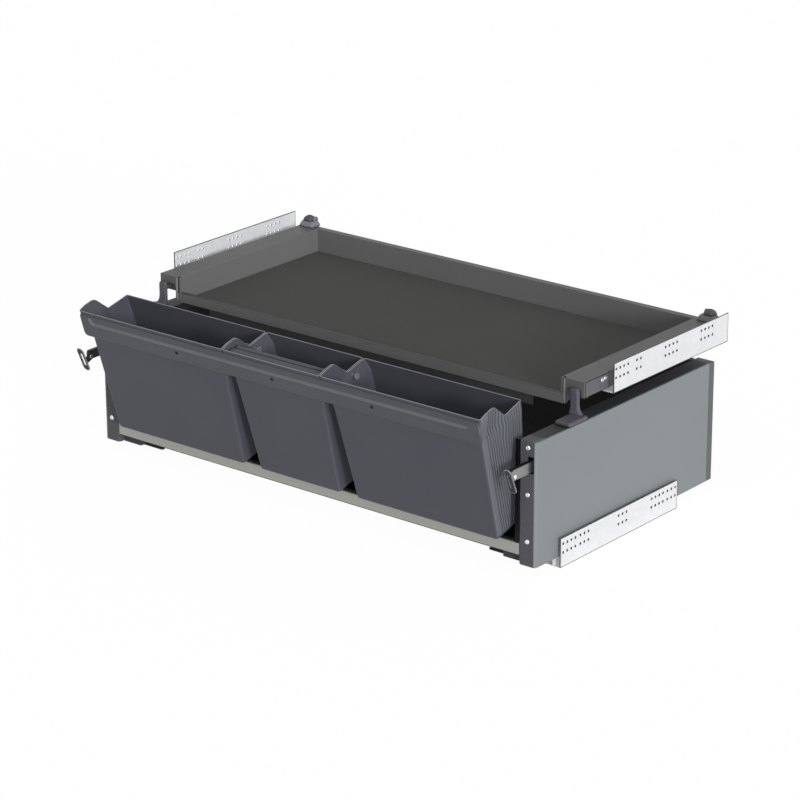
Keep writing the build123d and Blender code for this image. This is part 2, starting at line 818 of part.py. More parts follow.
def roller_place():
    """Where the catch roller sits: X of its two ends, and Y and Z of its axis."""
    start = rear_clip_inner_x + rear_clip_step_inset
    y = rear_clip_y + rear_clip_length - catch_roller_radius
    z = tray_top + rear_clip_base + catch_roller_radius + running_gap
    return start, start + catch_roller_width, y, z


def rear_clip():
    """A stepped clip on the tray's rear corner, with the axle of the catch roller."""
    base_top = tray_top + rear_clip_base
    step_x0 = rear_clip_inner_x + rear_clip_step_inset + catch_roller_width + running_gap
    step_x1 = rear_clip_outer_x - rear_clip_step_inset
    step_y1 = rear_clip_step_y + rear_clip_step_length
    step_top = base_top + rear_clip_step
    clip = block(rear_clip_inner_x, rear_clip_outer_x, rear_clip_y, rear_clip_y + rear_clip_length,
                 tray_top, base_top)
    clip = fillet(clip.edges().filter_by(Axis.Z), rear_clip_step_inset)
    clip += block(step_x0, step_x1, rear_clip_step_y, step_y1, base_top, step_top)
    clip += block(step_x0 + rear_clip_cap_inset, step_x1 - rear_clip_cap_inset,
                  rear_clip_step_y + rear_clip_cap_inset, step_y1, step_top,
                  step_top + rear_clip_cap_height)
    x0, x1, y, z = roller_place()
    return clip + rod_x(x0, step_x0, y, z, catch_roller_bore - hinge_clearance)


def catch_rollers():
    """The small roller on each rear clip."""
    x0, x1, y, z = roller_place()
    roller = rod_x(x0, x1, y, z, catch_roller_radius)
    roller -= rod_x(x0 - past, x1 + past, y, z, catch_roller_bore)
    return [roller, mirrored(roller)]


write("tray_floor", block(-tray_inner_half_width, tray_inner_half_width, lip_rear_y,
                          tray_back_wall_y, tray_floor_z, tray_floor_top))
write("tray_mat", block(mat_margin - tray_inner_half_width, tray_inner_half_width - mat_margin,
                        lip_rear_y + mat_margin, tray_back_wall_y - mat_margin, tray_floor_top,
                        tray_floor_top + mat_thickness))
write("tray_lip", block(-lip_end_x, lip_end_x, tray_front_y, lip_rear_y, tray_floor_z,
                        tray_floor_z + lip_height))
write("tray_back", tray_back())
write_pair("tray_side", tray_side())
write_pair("corner_bracket", corner_bracket())
write_group("bracket_screws", bracket_screws())
write_pair("rear_clip", rear_clip())
write_group("catch_rollers", catch_rollers())
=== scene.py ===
from math import atan, copysign, cos, hypot, pi, radians, sin, sqrt, tan

import bmesh
import bpy
from mathutils import Matrix, Vector


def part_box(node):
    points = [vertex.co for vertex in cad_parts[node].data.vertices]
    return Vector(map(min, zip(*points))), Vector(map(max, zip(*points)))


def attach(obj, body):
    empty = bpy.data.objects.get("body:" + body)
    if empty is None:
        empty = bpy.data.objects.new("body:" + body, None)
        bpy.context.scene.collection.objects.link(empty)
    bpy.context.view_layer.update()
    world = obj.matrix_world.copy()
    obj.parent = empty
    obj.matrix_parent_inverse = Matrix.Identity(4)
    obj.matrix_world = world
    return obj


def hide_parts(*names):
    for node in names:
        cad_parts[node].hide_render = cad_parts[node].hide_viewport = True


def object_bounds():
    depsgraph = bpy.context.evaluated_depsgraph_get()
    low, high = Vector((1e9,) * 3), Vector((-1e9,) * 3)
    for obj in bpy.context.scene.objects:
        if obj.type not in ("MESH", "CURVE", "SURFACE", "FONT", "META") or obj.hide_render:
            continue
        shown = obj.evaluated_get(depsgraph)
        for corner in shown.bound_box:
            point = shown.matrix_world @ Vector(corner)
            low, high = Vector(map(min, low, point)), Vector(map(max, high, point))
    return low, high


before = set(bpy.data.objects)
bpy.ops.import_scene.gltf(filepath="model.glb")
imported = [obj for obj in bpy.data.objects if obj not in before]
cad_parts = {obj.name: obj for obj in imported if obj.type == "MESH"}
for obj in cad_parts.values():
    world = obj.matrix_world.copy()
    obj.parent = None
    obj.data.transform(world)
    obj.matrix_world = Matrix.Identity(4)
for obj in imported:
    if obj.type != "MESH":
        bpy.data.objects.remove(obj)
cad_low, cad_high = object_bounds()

scene = bpy.context.scene


# Studio. The camera stands to the right of the front and above it, with a long lens.
# Floor and room are white, and soft light comes mainly from the right and a little from the front.

camera_place = (2.90620, -3.54895, 1.79076)
camera_turn = 39.17482
camera_dip = 20.04405
camera_roll = -0.25007
camera_lens = 142.43

camera = bpy.data.objects.new("camera", bpy.data.cameras.new("camera"))
scene.collection.objects.link(camera)
camera.data.lens = camera_lens
camera.matrix_world = (Matrix.Translation(camera_place)
                       @ Matrix.Rotation(radians(camera_turn), 4, "Z")
                       @ Matrix.Rotation(radians(90 - camera_dip), 4, "X")
                       @ Matrix.Rotation(radians(camera_roll), 4, "Z"))
scene.camera = camera
scene.view_settings.view_transform = "Standard"

for lamp_name, strength, spread, towards in (("window", 1.1, 10, (-0.856, 0.474, -0.208)),
                                             ("even_fill", 1.28, 60, (-0.81, 0.50, -0.30))):
    lamp = bpy.data.lights.new(lamp_name, "SUN")
    lamp.energy = strength
    lamp.angle = radians(spread)
    lamp.use_shadow = lamp_name == "window"
    lamp_object = bpy.data.objects.new(lamp_name, lamp)
    lamp_object.rotation_mode = "QUATERNION"
    lamp_object.rotation_quaternion = Vector(towards).to_track_quat("-Z", "Y")
    scene.collection.objects.link(lamp_object)


class Signal:
    """A socket of a shader tree. A sum on it adds the Math node that works it out."""

    def __init__(self, tree, socket=None):
        self.tree = tree
        self.socket = socket

    def node(self, kind, settings, inputs, output=0):
        """Add a node: its type, its settings, and the values or signals of its sockets."""
        made = self.tree.nodes.new("ShaderNode" + kind)
        for name, value in settings.items():
            setattr(made, name, value)
        for name, value in inputs.items():
            self.set(made.inputs[name], value)
        return Signal(self.tree, made.outputs[output])

    def set(self, socket, value):
        """Link a signal to this socket, or give the socket a plain value."""
        if isinstance(value, Signal):
            self.tree.links.new(value.socket, socket)
        else:
            socket.default_value = value

    def maths(self, operation, first, second):
        return self.node("Math", {"operation": operation}, {0: first, 1: second})

    def __add__(self, other):
        return self.maths("ADD", self, other)

    __radd__ = __add__

    def __sub__(self, other):
        return self.maths("SUBTRACT", self, other)

    def __rsub__(self, other):
        return self.maths("SUBTRACT", other, self)

    def __mul__(self, other):
        return self.maths("MULTIPLY", self, other)

    __rmul__ = __mul__

    def larger(self, other):
        return self.maths("MAXIMUM", self, other)

    def size(self):
        return self.maths("ABSOLUTE", self, 0)

    def rise(self, start, stop):
        """A mask that goes smoothly from 0 at start to 1 at stop."""
        return self.node("MapRange", {"interpolation_type": "SMOOTHSTEP"},
                         {"Value": self, "From Min": start, "From Max": stop})

    def blend(self, low, high):
        """One colour where this mask is 0 and the other where it is 1."""
        return self.node("Mix", {"data_type": "RGBA"}, {0: self, 6: low, 7: high}, 2)


def shade(red, green, blue):
    """A colour socket's value for a tone given as it shows on a screen, from 0 to 255."""
    channels = [channel / 255 for channel in (red, green, blue)]
    return [c / 12.92 if c < 0.04045 else ((c + 0.055) / 1.055) ** 2.4 for c in channels] + [1]


def seen(tree):
    """A mask that is 1 for rays from the camera, a mirror or glass, and 0 for diffuse light."""
    rays = Signal(tree).node("LightPath", {}, {})
    mirror = Signal(tree, rays.socket.node.outputs["Is Glossy Ray"])
    glass = Signal(tree, rays.socket.node.outputs["Is Transmission Ray"])
    return rays.larger(mirror).larger(glass)


room_light = 0.22
room = bpy.data.worlds.new("room")
room.use_nodes = True
scene.world = room
background = room.node_tree.nodes["Background"]
background.inputs["Color"].default_value = (1, 1, 1, 1)
room_view = seen(room.node_tree)
room_view.set(background.inputs["Strength"], room_view * (1 - room_light) + room_light)

floor_reach = 20
floor_glow = 0.9
floor_paint = bpy.data.materials.new("white_floor")
floor_paint.use_nodes = True
floor_tree = floor_paint.node_tree
floor_shader = floor_tree.nodes["Principled BSDF"]
floor_shader.inputs["Base Color"].default_value = shade(250, 250, 250)
floor_shader.inputs["Roughness"].default_value = 0.9
floor_shader.inputs["Specular IOR Level"].default_value = 0
floor_view = seen(floor_tree)
glow = floor_view.node("Emission", {}, {"Strength": 1.06})
floor_mix = floor_view.node("MixShader", {}, {0: floor_view * floor_glow})
floor_mixer = floor_mix.socket.node
floor_tree.links.new(floor_shader.outputs[0], floor_mixer.inputs[1])
floor_tree.links.new(glow.socket, floor_mixer.inputs[2])
floor_tree.links.new(floor_mix.socket, floor_tree.nodes["Material Output"].inputs["Surface"])
floor_shape = bmesh.new()
bmesh.ops.create_grid(floor_shape, x_segments=1, y_segments=1, size=floor_reach)
floor_mesh = bpy.data.meshes.new("floor")
floor_shape.to_mesh(floor_mesh)
floor_shape.free()
floor_mesh.materials.append(floor_paint)
floor = bpy.data.objects.new("floor", floor_mesh)
floor.location.z = cad_low.z - 0.0005
scene.collection.objects.link(floor)


# Slides. Each is roll-formed zinc-plated steel: a drilled angle on the cabinet wall, a square
# middle tube and a channel that hooks on it. The wall plates' cut edges, hole walls and a thin
# line round each plate's face are painted darker.

def new_finish(name, roughness, metallic=0.0, specular=0.5):
    """A material with its plain numbers set, and a signal to start its shader maths from."""
    material = bpy.data.materials.new(name)
    material.use_nodes = True
    shader = material.node_tree.nodes["Principled BSDF"]
    shader.inputs["Roughness"].default_value = roughness
    shader.inputs["Metallic"].default_value = metallic
    shader.inputs["Specular IOR Level"].default_value = specular
    return material, shader, Signal(material.node_tree)


def noise(start, size, stretch=(1, 1, 1), detail=2.0):
    """A grain of about this size in metres, drawn out along the axes where stretch is small."""
    place = start.node("TexCoord", {}, {}, "Object")
    scaled = start.node("Mapping", {}, {"Vector": place, "Scale": [s / size for s in stretch]})
    return start.node("TexNoise", {}, {"Vector": scaled, "Scale": 1.0, "Detail": detail})


def bumped(start, shader, height, depth, strength=1.0):
    """Let this height pattern tilt the surface, by this many metres."""
    bump = start.node("Bump", {}, {"Height": height, "Distance": depth, "Strength": strength})
    start.set(shader.inputs["Normal"], bump)


def zinc(name, low, high, roughness):
    """Zinc plate: pale crystals of slightly different tone and shine."""
    material, shader, start = new_finish(name, roughness, metallic=0.1)
    place = start.node("TexCoord", {}, {}, "Object")
    crystal = start.node("TexVoronoi", {}, {"Vector": place, "Scale": 160.0}, "Color")
    flake = start.node("SeparateColor", {}, {0: crystal})
    film = noise(start, 0.03)
    start.set(shader.inputs["Base Color"], (flake * 0.4 + film * 0.6).blend(low, high))
    start.set(shader.inputs["Roughness"], flake * 0.12 + (roughness - 0.06))
    bumped(start, shader, noise(start, 0.004, detail=3.0), 0.00002)
    return material


def from_node(node):
    """A clean copy of a CAD piece's shape, with its flat faces joined up."""
    shape = bmesh.new()
    shape.from_mesh(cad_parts[node].data)
    bmesh.ops.remove_doubles(shape, verts=shape.verts, dist=1e-6)
    bmesh.ops.dissolve_limit(shape, angle_limit=radians(1), verts=shape.verts, edges=shape.edges)
    return shape


def round_edges(shape, width, segments=2, least_turn=30):
    """Round every edge that turns by more than this angle."""
    sharp = [edge for edge in shape.edges if len(edge.link_faces) == 2
             and edge.calc_face_angle() > radians(least_turn)]
    return bmesh.ops.bevel(shape, geom=sharp, offset=width, segments=segments, profile=0.5,
                           affect="EDGES", clamp_overlap=True)["faces"]


def make_piece(name, shape, *finishes):
    """A new object from this shape, smooth, with its shading led by the large faces."""
    mesh = bpy.data.meshes.new(name)
    bmesh.ops.recalc_face_normals(shape, faces=shape.faces)
    shape.to_mesh(mesh)
    shape.free()
    mesh.polygons.foreach_set("use_smooth", [True] * len(mesh.polygons))
    for finish in finishes:
        mesh.materials.append(finish)
    piece = bpy.data.objects.new(name, mesh)
    scene.collection.objects.link(piece)
    piece.modifiers.new("even_shading", "WEIGHTED_NORMAL").keep_sharp = True
    return piece


def fit(piece, body, slot, *nodes):
    """Put a piece on its body, in place of these CAD pieces, if any. The slot is not used."""
    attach(piece, body)
    if nodes:
        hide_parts(*nodes)


def paint(node, finish):
    """Give a CAD piece that stays its finish."""
    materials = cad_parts[node].data.materials
    materials.clear()
    materials.append(finish)


cut_edge = 0.0012
plate_skin = 0.0016


def wall_plate(level):
    """The zinc of one pair of wall plates, with their cut edges and hole walls dark."""
    material = zinc(f"{level}_wall_plate_zinc", shade(234, 235, 237), shade(247, 248, 249), 0.42)
    start = Signal(material.node_tree)
    shader = material.node_tree.nodes["Principled BSDF"]
    low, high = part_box(f"{level}_cabinet_rail_right")
    middle, half = (low + high) / 2, (high - low) / 2
    place = start.node("TexCoord", {}, {}, "Object")
    facing = start.node("TexCoord", {}, {}, "Normal")
    across, along, up = [start.node("SeparateXYZ", {}, {0: place}, i) for i in range(3)]
    border = ((along - middle.y).size().rise(half.y - cut_edge, half.y - 0.75 * cut_edge)
              .larger((up - middle.z).size().rise(half.z - cut_edge, half.z - 0.75 * cut_edge)))
    cut = 1 - start.node("SeparateXYZ", {}, {0: facing}, 0).size().rise(0.4, 0.6)
    on_plate = across.size().rise(high.x - plate_skin, high.x - plate_skin + 0.0002)
    edge = border.larger(cut) * on_plate
    face = Signal(material.node_tree, shader.inputs["Base Color"].links[0].from_socket)
    start.set(shader.inputs["Base Color"], edge.blend(face, shade(62, 62, 64)))
    return material


runner_zinc = zinc("zinc_runner", shade(150, 152, 154), shade(190, 192, 194), 0.36)
nylon, nylon_shader, nylon_start = new_finish("nylon", 0.45)
nylon_start.set(nylon_shader.inputs["Base Color"],
                noise(nylon_start, 0.01).blend(shade(200, 198, 190), shade(218, 216, 208)))

for level in ("lower", "upper"):
    plate_zinc = wall_plate(level)
    for side in ("left", "right"):
        paint(f"{level}_cabinet_rail_{side}", plate_zinc)
        for part in ("middle", "carrying"):
            paint(f"{level}_{part}_rail_{side}", runner_zinc)
    paint(f"{level}_glides", nylon)


# Drawer sides. A grey outer panel with a bevelled front edge stands on a folded black frame,
# and a moulded cap closes its rear end. Both sheets are sprayed, with a fine even grain.

def coat(name, low, high, roughness, grain=0.0009, depth=0.00002, speckle=0.35, drift=0.15,
         specular=0.15):
    """A sprayed or moulded finish: fine grain, paler and darker specks, and a slow drift."""
    material, shader, start = new_finish(name, roughness, specular=specular)
    fine = noise(start, grain, detail=3.0)
    tone = (fine.rise(0.3, 0.7) * speckle + noise(start, drift) * (1 - speckle))
    start.set(shader.inputs["Base Color"], tone.blend(low, high))
    start.set(shader.inputs["Roughness"], fine * 0.16 + (roughness - 0.08))
    bumped(start, shader, fine, depth)
    return material


def rounded(name, node, body, slot, finish, width=0.0006, segments=2):
    """A CAD piece with the small round edges that folding, moulding or tumbling leave."""
    shape = from_node(node)
    round_edges(shape, width, segments)
    fit(make_piece(name, shape, finish), body, slot, node)


def skin(shape, first, second, finish=0):
    """The ring of faces between two closed lines with as many points each."""
    faces = []
    for i in range(len(first)):
        j = (i + 1) % len(first)
        faces.append(shape.faces.new((first[i], first[j], second[j], second[i])))
        faces[-1].material_index = finish
    return faces


def upright_shape(outline, low, high, edge):
    """A sheet or block with this plan outline, between two heights, with round edges."""
    shape = bmesh.new()
    base = [shape.verts.new((x, y, low)) for x, y in outline]
    top = [shape.verts.new((x, y, high)) for x, y in outline]
    shape.faces.new(base)
    shape.faces.new(top)
    skin(shape, base, top)
    bmesh.ops.recalc_face_normals(shape, faces=shape.faces)
    round_edges(shape, edge)
    return shape


def upright(name, outline, low, high, edge, finish):
    return make_piece(name, upright_shape(outline, low, high, edge), finish)


panel_coat = coat("grey_panel_coat", shade(141, 146, 149), shade(147, 152, 155), 0.42,
                  grain=0.0006, speckle=0.2)
black_coat = coat("black_powder_coat", shade(56, 56, 58), shade(68, 68, 71), 0.5)
cap_plastic = coat("cap_plastic", shade(104, 106, 109), shade(116, 118, 121), 0.5)
nose_width = 0.0034
nose_length = 0.0078
panel_gap = 0.0001
cap_lip = 0.003
both_sides = (("left", -1), ("right", 1))
for side, outwards in both_sides:
    node = f"outer_panel_{side}"
    low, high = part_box(node)
    outer, inner = (high.x, low.x) if outwards > 0 else (low.x, high.x)
    nose = [(outer - outwards * nose_width * (1 - sin(a)),
             low.y + panel_gap + nose_length * (1 - cos(a)))
            for a in map(radians, range(0, 100, 10))]
    outline = [(inner, high.y), (inner, low.y + panel_gap)] + nose + [(outer, high.y)]
    fit(upright(f"{side}_outer_panel", outline, low.z, high.z, 0.0005, panel_coat), "drawer",
        "grey_panel", node)
    rounded(f"{side}_inner_wall", f"side_frame_{side}", "drawer", "black_steel", black_coat,
            width=0.0005)
    cap = from_node(f"rear_cap_{side}")
    cap_middle = sum(vert.co.y for vert in cap.verts) / len(cap.verts)
    for vert in cap.verts:
        vert.co.y += cap_lip if vert.co.y > cap_middle else 0
    round_edges(cap, 0.001)
    fit(make_piece(f"{side}_rear_cap", cap, cap_plastic), "drawer", "dark_plastic",
        f"rear_cap_{side}")


# Floor and back of the drawer, and the bent sheet under the leaning boxes. All three are folded
# from sheet steel and coated. The floor and back are dark grey, darkened further as painted shade
# under the tray, and the bent sheet is near black, painted shade seen in the gaps between the
# boxes.

# Near-black plastic of the inner trims, darkened further as painted shade beside the posts. The
# same near black paints shade in the posts' strap slots, on the bent sheet behind the boxes and in
# the seams round the bracket side plates.
trim_plastic_and_painted_shade = coat("trim_plastic_and_painted_shade", shade(6, 6, 8), shade(12, 12, 14), 0.45)
sheet_coat_and_shade = coat("drawer_sheet_paint_and_shade", shade(64, 64, 65), shade(75, 75, 77), 0.5)
for node, finish in (("drawer_floor", sheet_coat_and_shade), ("drawer_back", sheet_coat_and_shade),
                     ("box_cradle", trim_plastic_and_painted_shade)):
    rounded(node.replace("_", "_sheet_", 1), node, "drawer", "black_steel", finish, width=0.0004)


# Front posts. Dark coated posts with a coarse speckled grain stand at the two front corners.
# Three screws hold each one, and the door strap comes out of a slot in its face.

post_coat = coat("post_coat", shade(82, 82, 86), shade(106, 106, 111), 0.45, grain=0.0014,
                 speckle=0.7, depth=0.00004)
post_corner = 0.003
slot_depth = 0.0075
slot_from_foot = 0.12
slot_from_top = 0.015
slot_margin = 0.003
for side, outwards in both_sides:
    node = f"front_post_{side}"
    low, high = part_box(node)
    post = from_node(node)
    inner = low.x if outwards > 0 else high.x
    front_corner = [edge for edge in post.edges
                    if all(abs(vert.co.x - inner) < 1e-5 and abs(vert.co.y - low.y) < 1e-5
                           for vert in edge.verts)]
    bmesh.ops.bevel(post, geom=front_corner, offset=post_corner, segments=4, profile=0.5,
                    affect="EDGES")
    round_edges(post, 0.0006)
    # Faces inside the strap slot take the near-black second material: painted shade in the slot.
    for face in post.faces:
        centre = face.calc_center_median()
        in_slot = (low.y + 0.0007 < centre.y < low.y + slot_depth
                   and low.z + slot_from_foot < centre.z < high.z - slot_from_top
                   and low.x + slot_margin < centre.x < high.x - slot_margin)
        face.material_index = 1 if in_slot else 0
    fit(make_piece(f"{side}_front_post", post, post_coat, trim_plastic_and_painted_shade), "drawer", "black_steel",
        node)
for side in ("left", "right"):
    rounded(f"{side}_inner_trim", f"inner_trim_{side}", "drawer", "dark_plastic", trim_plastic_and_painted_shade,
            width=0.0004)


def bright_metal(name, low, high, roughness, stretch=(1, 1, 1), size=0.002, metallic=0.9):
    """Bare or plated metal with fine marks drawn out along one axis."""
    material, shader, start = new_finish(name, roughness, metallic=metallic)
    marks = noise(start, size, stretch, detail=4.0)
    start.set(shader.inputs["Base Color"], marks.blend(low, high))
    start.set(shader.inputs["Roughness"], marks * 0.2 + (roughness - 0.1))
    bumped(start, shader, marks, 0.00001)
    return material


def turned(profile, steps=32):
    """A round solid about Z from (radius, height) points, closed where the radius is 0."""
    shape = bmesh.new()
    turns = [2 * pi * i / steps for i in range(steps)]
    rings = []
    for radius, height in profile:
        if radius == 0:
            rings.append([shape.verts.new((0, 0, height))])
        else:
            rings.append([shape.verts.new((radius * cos(a), radius * sin(a), height))
                          for a in turns])
    for low, high in zip(rings, rings[1:]):
        for i in range(steps):
            j = (i + 1) % steps
            corners = (low[i % len(low)], low[j % len(low)], high[j % len(high)],
                       high[i % len(high)])
            shape.faces.new(tuple(dict.fromkeys(corners)))
    return shape


def screw(radius, height, length, shank, recess):
    """A pan-head screw with a cross recess, head up along Z from the face that it sits on."""
    dome = [(0.0, height)]
    steps = 14
    for i in range(1, steps + 1):
        share = i / steps
        dome.append((radius * share, height * (1 - share ** 4) + 0.00002))
    shape = turned([(0, -length), (shank, -length), (shank, 0), (radius * 0.98, 0)] + dome[::-1],
                   48)
    for vert in shape.verts:
        if vert.co.z > height * 0.4:
            across = min(abs(vert.co.x), abs(vert.co.y))
            along = max(abs(vert.co.x), abs(vert.co.y))
            if across < radius * 0.2 and along < radius * 0.62:
                vert.co.z -= recess * (1 - (along / (radius * 0.62)) ** 4)
    return shape


def posed(place, degrees, axis):
    """The matrix that turns a shape about one axis and sets it at a place."""
    return Matrix.Translation(place) @ Matrix.Rotation(radians(degrees), 4, axis)


def moved(shape, matrix):
    """The same shape at another place."""
    bmesh.ops.transform(shape, verts=shape.verts, matrix=matrix)
    return shape


def join(shapes):
    """Several shapes as one, where they stand."""
    together = bmesh.new()
    for shape in shapes:
        mesh = bpy.data.meshes.new("part")
        shape.to_mesh(mesh)
        shape.free()
        together.from_mesh(mesh)
        bpy.data.meshes.remove(mesh)
    return together


def placed(shape, matrices):
    """Copies of this shape at several places, as one shape."""
    return join([moved(shape.copy(), matrix) for matrix in matrices])


def islands(node):
    """The boxes round the separate solids of a CAD piece, as (lowest, highest) corners."""
    shape = from_node(node)
    left = set(shape.verts)
    found = []
    while left:
        group = [left.pop()]
        points = []
        while group:
            vert = group.pop()
            points.append(vert.co.copy())
            for edge in vert.link_edges:
                other = edge.other_vert(vert)
                if other in left:
                    left.remove(other)
                    group.append(other)
        found.append((Vector(map(min, *points)), Vector(map(max, *points))))
    shape.free()
    return found


screw_nickel = bright_metal("screw_nickel", shade(214, 215, 218), shade(246, 247, 250), 0.28)
post_head_height = 0.002
post_screw_places = []
for low, high in islands("post_screws"):
    middle = (low + high) / 2
    post_screw_places.append(posed((middle.x, low.y + post_head_height, middle.z), 90, "X"))
screws = placed(screw(0.004, post_head_height, 0.0118, 0.00185, 0.0011), post_screw_places)
fit(make_piece("post_corner_screws", screws, screw_nickel), "drawer", "zinc_steel", "post_screws")


# Front rail. A champagne anodised aluminium tube between the posts, brushed along its length
# by the extrusion die.

champagne = bright_metal("champagne_anodised", shade(164, 165, 158), shade(179, 180, 172), 0.5,
                         stretch=(0.02, 1, 1), size=0.0012, metallic=0.35)
rounded("front_rail_tube", "front_rail", "drawer", "champagne", champagne, width=0.0006)


# Front clips and their levers. Moulded blocks under the front corners hook the drawer on its
# slides, and a thin lever lets each one go.

clip_plastic = coat("clip_plastic", shade(60, 60, 66), shade(74, 74, 80), 0.5)
for side in ("left", "right"):
    rounded(f"{side}_front_clip", f"front_clip_{side}", "drawer", "dark_plastic", clip_plastic,
            width=0.0012, segments=3)
    rounded(f"{side}_release_lever", f"clip_lever_{side}", f"{side}_lever", "dark_plastic",
            clip_plastic, width=0.0004)


# Door brackets. A nickel-plated strap slides in each post, and a dark slotted plate tilts on a
# domed rivet at its end, to be screwed on the cabinet's door.

strap_nickel = bright_metal("strap_nickel", shade(112, 113, 112), shade(168, 169, 166), 0.36,
                            stretch=(1, 0.05, 1), size=0.0008)
fold_shade_paint = coat("strap_fold_painted_shade", shade(20, 20, 22), shade(32, 32, 35), 0.45)
plate_black = coat("door_plate_black", shade(40, 40, 45), shade(56, 56, 62), 0.38)
strap_fold = 0.0056
strap_fold_length = 0.062
strap_fold_thick = 0.0016
plate_tilt = 23
plate_half_width = 0.0068
plate_half_length = 0.022
plate_thick = 0.0016
plate_highlight_band = 0.0011
plate_edge = 0.0003
hole_half_width = 0.0026
hole_half_length = 0.0125
plate_out = 0.0018
plate_off_strap = 0.0008
plate_front = 0.012
plate_up = 0.0025
ear_in = 0.0024
ear_half_thick = 0.0008
ear_half_height = 0.0055
rivet_shank = 0.00195
rivet_foot = 0.0034
rivet_head = 0.0037
rivet_dome = 0.002


def rectangle(x0, x1, y0, y1):
    """A plan outline for upright, in the order that runs round it."""
    return [(x0, y0), (x1, y0), (x1, y1), (x0, y1)]


def stadium(half_width, half_length, steps=16):
    """A long rounded outline about its middle, as (across, up) points."""
    straight = half_length - half_width
    arcs = ((straight, 0), (-straight, pi))
    return [(half_width * cos(start + pi * i / steps),
             up + half_width * sin(start + pi * i / steps))
            for up, start in arcs for i in range(steps + 1)]


def ring_plate(rim_loops):
    """A plate with a hole from (outline, depth, finish of the faces that follow) loops."""
    shape = bmesh.new()
    rings = [([shape.verts.new((x, depth, z)) for x, z in outline], finish)
             for outline, depth, finish in rim_loops]
    for (low, finish), (high, _) in zip(rings, rings[1:] + rings[:1]):
        skin(shape, low, high, finish)
    return shape


for side, outwards in both_sides:
    rounded(f"{side}_strap", f"door_strap_{side}", f"{side}_strap", "strap_steel", strap_nickel,
            width=0.0003)
    low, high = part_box(f"door_strap_{side}")
    edge_x = low.x if outwards > 0 else high.x
    # A fold along the strap's top edge, part of the nickel strap but coloured near black: painted
    # shade on the fold.
    fold_x = edge_x - outwards * strap_fold
    fold = [(edge_x, low.y - 0.001), (fold_x, low.y + 0.001),
            (fold_x, low.y + strap_fold_length), (edge_x, low.y + strap_fold_length)]
    fit(upright(f"{side}_strap_fold", fold, high.z - strap_fold_thick, high.z, plate_edge,
                fold_shade_paint), f"{side}_strap", "strap_steel")
    rivet_low, rivet_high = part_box(f"door_rivet_{side}")
    pivot = (rivet_low + rivet_high) / 2
    rim = stadium(plate_half_width, plate_half_length)
    inner = stadium(plate_half_width - plate_highlight_band, plate_half_length - plate_highlight_band)
    hole = stadium(hole_half_width, hole_half_length)
    # The plate is dark. Its outer edge, a band round both faces and the hole walls take the strap's
    # nickel: a painted highlight along its edges.
    plate = ring_plate([(rim, plate_thick - plate_edge, 1), (rim, plate_edge, 1), (inner, 0, 0),
                        (hole, 0, 1), (hole, plate_thick, 0), (inner, plate_thick, 1)])
    offset = (plate_out * outwards, -plate_front - plate_thick, plate_up)
    plate = moved(plate, Matrix.Translation(offset))
    ear_x = -ear_in * outwards
    ear = upright_shape(rectangle(ear_x - ear_half_thick, ear_x + ear_half_thick,
                                  -plate_front - 0.0004, 0.004),
                        -ear_half_height, ear_half_height, 0.0005)
    pose = posed((edge_x + plate_off_strap * outwards, pivot.y, pivot.z), plate_tilt, "X")
    fit(make_piece(f"{side}_door_plate", moved(join([plate, ear]), pose), plate_black,
                   strap_nickel), f"{side}_plate", "dark_plastic", f"door_plate_{side}")
    length = rivet_high.x - rivet_low.x
    dome_base = length - rivet_dome
    profile = [(0, 0), (0.0030, 0.0001), (rivet_foot, 0.0005), (rivet_foot, 0.001),
               (rivet_shank, 0.001), (rivet_shank, dome_base), (rivet_head, dome_base)]
    profile += [(rivet_head * cos(a), dome_base + 0.0004 + (rivet_dome - 0.0004) * sin(a))
                for a in map(radians, range(0, 90, 15))] + [(0, length)]
    rivet_foot_x = rivet_low.x if outwards > 0 else rivet_high.x
    rivet = moved(turned(profile, 40), posed((rivet_foot_x, pivot.y, pivot.z), 90 * outwards, "Y"))
    fit(make_piece(f"{side}_door_rivet", rivet, screw_nickel), f"{side}_strap", "strap_steel",
        f"door_rivet_{side}")


# Leaning boxes. Three tapered tubs in one dark moulded plastic, with a flared rim that is high
# in front, dips in a wave and runs level behind. Their outer end walls have fine upright ribs.

lean = radians(15.9)
rim_out = 5.3
outer_overhang = 10.5
outer_overhang_behind = 5.9
outer_taper = 6.0
inner_overhang = 8.0
inner_taper = 8.5
shoulder = 180.0
flare_top = 226.0
front_top = 225.5
front_drop = 1.8
back_top = 196.5
hump_depth = 28.5
dip_depth = 50.5
hump_radius = 15.0
dip_radius = 1.5
depth_bottom = 86.0
depth_top = 93.0
bottom_start = 7.5
end_bottom_radius = 4.0
front_bottom_radius = 3.5
back_bottom_radius = 8.0
wall = 1.5
corner = 3.6
corner_points = 7
plain_steps = 8
rib_count = 16
rib_steps = rib_count * 4
rib_profile = (0, 0.55, 1, 0.55)
rib_height = 0.9
rib_front = 6.0
rib_full = 15.0
crest_front = 11.0
rib_foot = 12.0
wave_start = 192.0
lip_height = 0.7
outer_rim = 200.0

front_rail_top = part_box("front_rail")[1].z
rim_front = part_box("box_middle")[0].y
front_measure = 224.5
heel_y = rim_front + (rim_out * cos(lean) + front_measure * sin(lean)) / 1000
leaning = (Matrix.Translation((0, heel_y, front_rail_top - 0.002))
           @ Matrix.Rotation(lean, 4, "X") @ Matrix.Scale(0.001, 4))


def smooth(value, start, stop):
    share = min(max((value - start) / (stop - start), 0), 1)
    return share * share * (3 - 2 * share)


